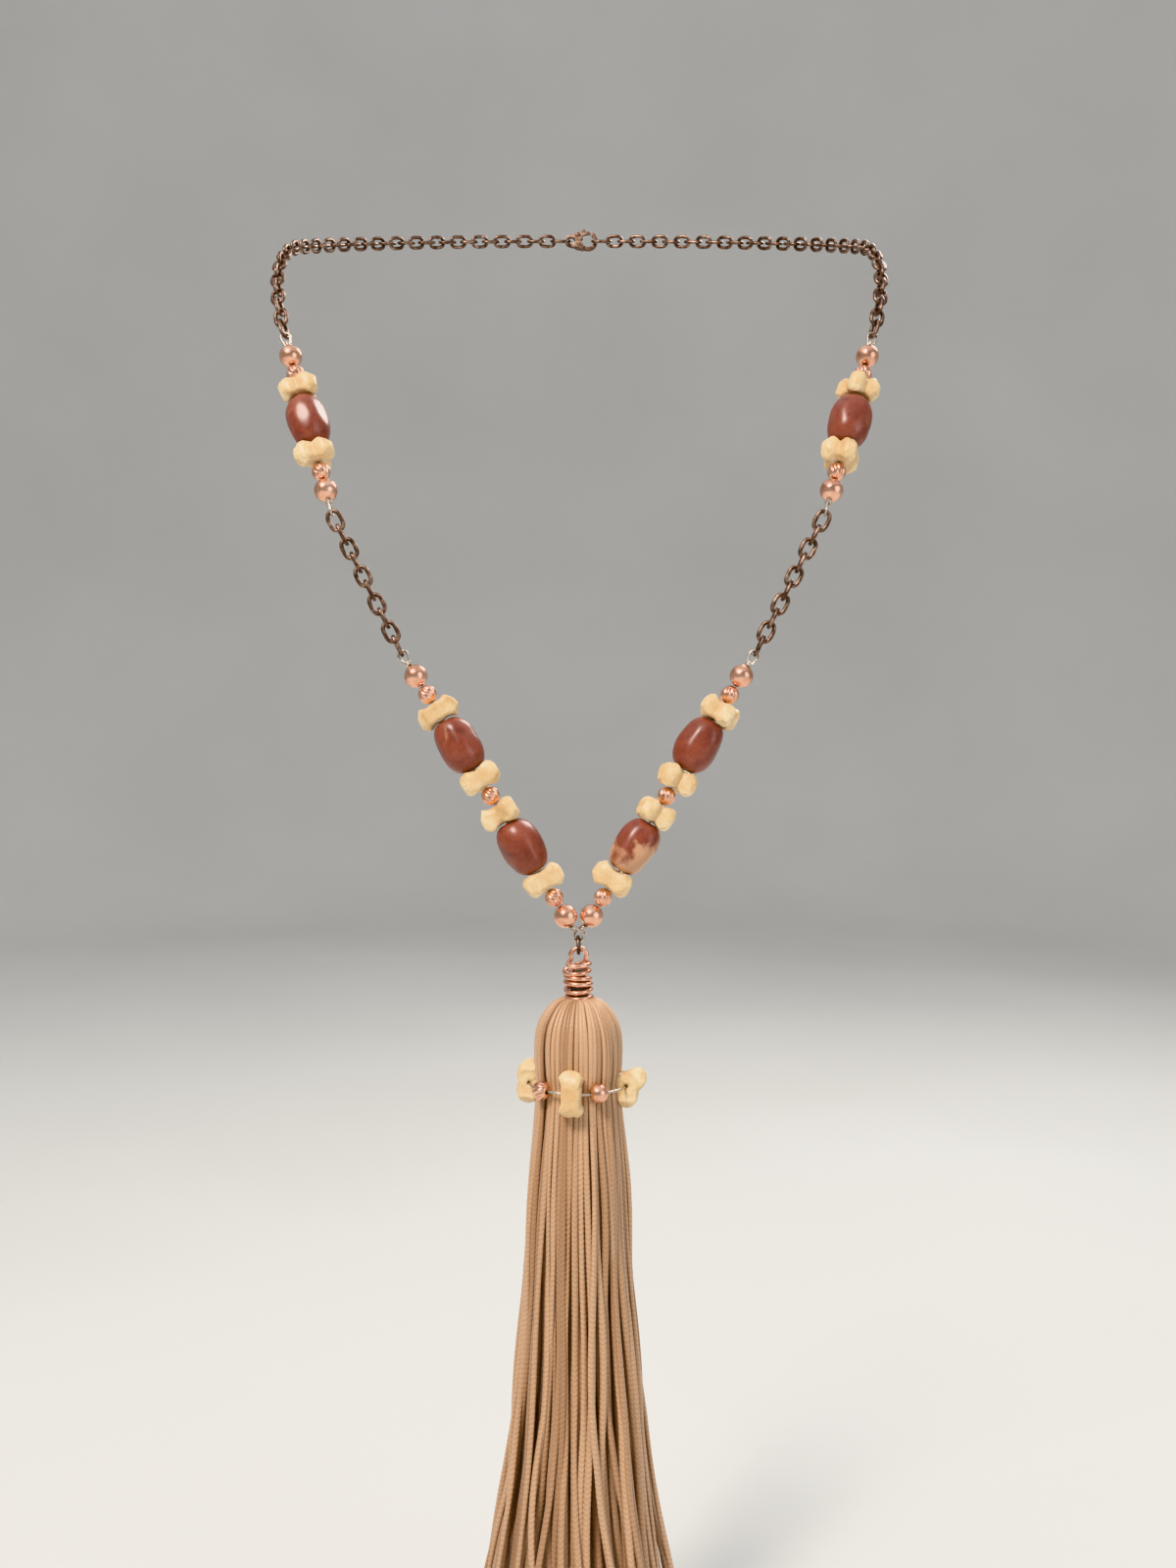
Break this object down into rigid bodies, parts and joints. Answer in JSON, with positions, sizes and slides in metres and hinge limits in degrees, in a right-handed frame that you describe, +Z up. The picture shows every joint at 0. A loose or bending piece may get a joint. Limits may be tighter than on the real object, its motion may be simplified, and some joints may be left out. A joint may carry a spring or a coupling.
{
  "type": "tassel necklace",
  "caption": "Long cable-chain necklace with beaded stations that meet at a ring, a lobster clasp at the nape and a thread tassel with a beaded band.",
  "frame": {"origin": "middle of the neck opening, level with the chain at the top of the shoulders", "axes": "+Z up, the wearer faces -Y, +X to the right of someone who looks at the front"},
  "size_m": [0.143, 0.1231, 0.34],
  "materials": {
    "dark_copper": "antiqued",
    "bright_copper": "polished",
    "beading_wire": "satin",
    "red_jasper": "polished stone",
    "cream_stone": "tumbled stone",
    "tassel_thread": "satin chainette",
    "cord_core": "waxed cord"
  },
  "bodies": {
    "neck": {"back_chain_left": "dark_copper", "back_chain_right": "dark_copper", "clasp_ring": "dark_copper", "clasp_body": "dark_copper", "clasp_rivet": "bright_copper", "clasp_spring": "dark_copper", "end_ring": "dark_copper"},
    "clasp_lever": {"clasp_lever": "dark_copper"},
    "upper_stations": {"upper_left_wire": "beading_wire", "upper_left_round_beads": "bright_copper", "upper_left_fluted_beads": "bright_copper", "upper_right_wire": "beading_wire", "upper_right_round_beads": "bright_copper", "upper_right_fluted_beads": "bright_copper"},
    "front_chains": {"front_chain_left": "dark_copper", "front_chain_right": "dark_copper"},
    "lower_stations": {"lower_left_wire": "beading_wire", "lower_left_round_beads": "bright_copper", "lower_left_fluted_beads": "bright_copper", "lower_right_wire": "beading_wire", "lower_right_round_beads": "bright_copper", "lower_right_fluted_beads": "bright_copper"},
    "centre_ring": {"centre_ring": "dark_copper"},
    "tassel": {"tassel_wire": "bright_copper", "hanging_cord": "cord_core", "tassel_head": "tassel_thread", "band_wire": "beading_wire", "band_chip_1": "cream_stone", "band_chip_2": "cream_stone", "band_chip_3": "cream_stone", "band_chip_4": "cream_stone", "band_bead_1": "bright_copper", "band_bead_2": "bright_copper", "band_bead_3": "bright_copper", "band_bead_4": "bright_copper"},
    "skirt": {"tassel_skirt": "tassel_thread"},
    "lower_left_chip_1": {"lower_left_chip_1": "cream_stone"},
    "lower_left_chip_2": {"lower_left_chip_2": "cream_stone"},
    "lower_left_chip_3": {"lower_left_chip_3": "cream_stone"},
    "lower_left_chip_4": {"lower_left_chip_4": "cream_stone"},
    "lower_left_jasper_1": {"lower_left_jasper_1": "red_jasper"},
    "lower_left_jasper_2": {"lower_left_jasper_2": "red_jasper"},
    "lower_left_middle_bead": {"lower_left_middle_bead": "bright_copper"},
    "upper_left_chip_1": {"upper_left_chip_1": "cream_stone"},
    "upper_left_chip_2": {"upper_left_chip_2": "cream_stone"},
    "upper_left_jasper_1": {"upper_left_jasper_1": "red_jasper"},
    "lower_right_chip_1": {"lower_right_chip_1": "cream_stone"},
    "lower_right_chip_2": {"lower_right_chip_2": "cream_stone"},
    "lower_right_chip_3": {"lower_right_chip_3": "cream_stone"},
    "lower_right_chip_4": {"lower_right_chip_4": "cream_stone"},
    "lower_right_jasper_1": {"lower_right_jasper_1": "red_jasper"},
    "lower_right_jasper_2": {"lower_right_jasper_2": "red_jasper"},
    "lower_right_middle_bead": {"lower_right_middle_bead": "bright_copper"},
    "upper_right_chip_1": {"upper_right_chip_1": "cream_stone"},
    "upper_right_chip_2": {"upper_right_chip_2": "cream_stone"},
    "upper_right_jasper_1": {"upper_right_jasper_1": "red_jasper"}
  },
  "joints": [
    {"name": "clasp_lever_hinge", "type": "hinge", "parent": "neck", "child": "clasp_lever", "pos_m": [-0.00095, 0.05453, 0.02573], "axis": [0, -1, 0], "range_deg": [-15, 0], "stiffness_Nm_per_rad": 0.00001, "springref_deg": 11.46},
    {"name": "upper_station_lift", "type": "hinge", "parent": "neck", "child": "upper_stations", "pos_m": [0, -0.02782, -0.03079], "axis": [-1, 0, 0], "range_deg": [0, 25]},
    {"name": "front_chain_lift", "type": "hinge", "parent": "upper_stations", "child": "front_chains", "pos_m": [0, -0.04094, -0.07325], "axis": [-1, 0, 0], "range_deg": [0, 25]},
    {"name": "lower_station_lift", "type": "hinge", "parent": "front_chains", "child": "lower_stations", "pos_m": [0, -0.04094, -0.10293], "axis": [-1, 0, 0], "range_deg": [0, 25]},
    {"name": "centre_ring_swing", "type": "hinge", "parent": "lower_stations", "child": "centre_ring", "pos_m": [0, -0.04093, -0.1653], "axis": [1, 0, 0], "range_deg": [-45, 45]},
    {"name": "tassel_side_swing", "type": "hinge", "parent": "centre_ring", "child": "tassel", "pos_m": [0, -0.04093, -0.167], "axis": [0, 1, 0], "range_deg": [-40, 40]},
    {"name": "skirt_sway", "type": "hinge", "parent": "tassel", "child": "skirt", "pos_m": [0, -0.04093, -0.21262], "axis": [0, 1, 0], "range_deg": [-20, 20]},
    {"name": "lower_left_chip_1_spin", "type": "hinge", "parent": "lower_stations", "child": "lower_left_chip_1", "pos_m": [-0.00752, -0.04141, -0.15152], "axis": [-0.5299, 0.0085, 0.848], "continuous": true},
    {"name": "lower_left_chip_2_spin", "type": "hinge", "parent": "lower_stations", "child": "lower_left_chip_2", "pos_m": [-0.01637, -0.04127, -0.13736], "axis": [-0.5299, 0.0085, 0.848], "continuous": true},
    {"name": "lower_left_chip_3_spin", "type": "hinge", "parent": "lower_stations", "child": "lower_left_chip_3", "pos_m": [-0.02098, -0.0412, -0.12999], "axis": [-0.5299, 0.0085, 0.848], "continuous": true},
    {"name": "lower_left_chip_4_spin", "type": "hinge", "parent": "lower_stations", "child": "lower_left_chip_4", "pos_m": [-0.02983, -0.04106, -0.11582], "axis": [-0.5299, 0.0085, 0.848], "continuous": true},
    {"name": "lower_left_jasper_1_spin", "type": "hinge", "parent": "lower_stations", "child": "lower_left_jasper_1", "pos_m": [-0.01195, -0.04134, -0.14444], "axis": [-0.5299, 0.0085, 0.848], "continuous": true},
    {"name": "lower_left_jasper_2_spin", "type": "hinge", "parent": "lower_stations", "child": "lower_left_jasper_2", "pos_m": [-0.02541, -0.04113, -0.12291], "axis": [-0.5299, 0.0085, 0.848], "continuous": true},
    {"name": "lower_left_middle_bead_spin", "type": "hinge", "parent": "lower_stations", "child": "lower_left_middle_bead", "pos_m": [-0.01868, -0.04124, -0.13367], "axis": [-0.5299, 0.0085, 0.848], "continuous": true},
    {"name": "upper_left_chip_1_spin", "type": "hinge", "parent": "upper_stations", "child": "upper_left_chip_1", "pos_m": [-0.05659, -0.03676, -0.06007], "axis": [-0.2806, 0.2806, 0.9179], "continuous": true},
    {"name": "upper_left_chip_2_spin", "type": "hinge", "parent": "upper_stations", "child": "upper_left_chip_2", "pos_m": [-0.06128, -0.03208, -0.04474], "axis": [-0.2806, 0.2806, 0.9179], "continuous": true},
    {"name": "upper_left_jasper_1_spin", "type": "hinge", "parent": "upper_stations", "child": "upper_left_jasper_1", "pos_m": [-0.05894, -0.03442, -0.0524], "axis": [-0.2806, 0.2806, 0.9179], "continuous": true},
    {"name": "lower_right_chip_1_spin", "type": "hinge", "parent": "lower_stations", "child": "lower_right_chip_1", "pos_m": [0.00752, -0.04046, -0.15152], "axis": [0.5299, -0.0085, 0.848], "continuous": true},
    {"name": "lower_right_chip_2_spin", "type": "hinge", "parent": "lower_stations", "child": "lower_right_chip_2", "pos_m": [0.01637, -0.0406, -0.13736], "axis": [0.5299, -0.0085, 0.848], "continuous": true},
    {"name": "lower_right_chip_3_spin", "type": "hinge", "parent": "lower_stations", "child": "lower_right_chip_3", "pos_m": [0.02098, -0.04067, -0.12999], "axis": [0.5299, -0.0085, 0.848], "continuous": true},
    {"name": "lower_right_chip_4_spin", "type": "hinge", "parent": "lower_stations", "child": "lower_right_chip_4", "pos_m": [0.02983, -0.04081, -0.11582], "axis": [0.5299, -0.0085, 0.848], "continuous": true},
    {"name": "lower_right_jasper_1_spin", "type": "hinge", "parent": "lower_stations", "child": "lower_right_jasper_1", "pos_m": [0.01195, -0.04053, -0.14444], "axis": [0.5299, -0.0085, 0.848], "continuous": true},
    {"name": "lower_right_jasper_2_spin", "type": "hinge", "parent": "lower_stations", "child": "lower_right_jasper_2", "pos_m": [0.02541, -0.04074, -0.12291], "axis": [0.5299, -0.0085, 0.848], "continuous": true},
    {"name": "lower_right_middle_bead_spin", "type": "hinge", "parent": "lower_stations", "child": "lower_right_middle_bead", "pos_m": [0.01868, -0.04063, -0.13367], "axis": [0.5299, -0.0085, 0.848], "continuous": true},
    {"name": "upper_right_chip_1_spin", "type": "hinge", "parent": "upper_stations", "child": "upper_right_chip_1", "pos_m": [0.05659, -0.03677, -0.06007], "axis": [0.2806, 0.2806, 0.9179], "continuous": true},
    {"name": "upper_right_chip_2_spin", "type": "hinge", "parent": "upper_stations", "child": "upper_right_chip_2", "pos_m": [0.06128, -0.03209, -0.04474], "axis": [0.2806, 0.2806, 0.9179], "continuous": true},
    {"name": "upper_right_jasper_1_spin", "type": "hinge", "parent": "upper_stations", "child": "upper_right_jasper_1", "pos_m": [0.05894, -0.03443, -0.0524], "axis": [0.2806, 0.2806, 0.9179], "continuous": true}
  ]
}
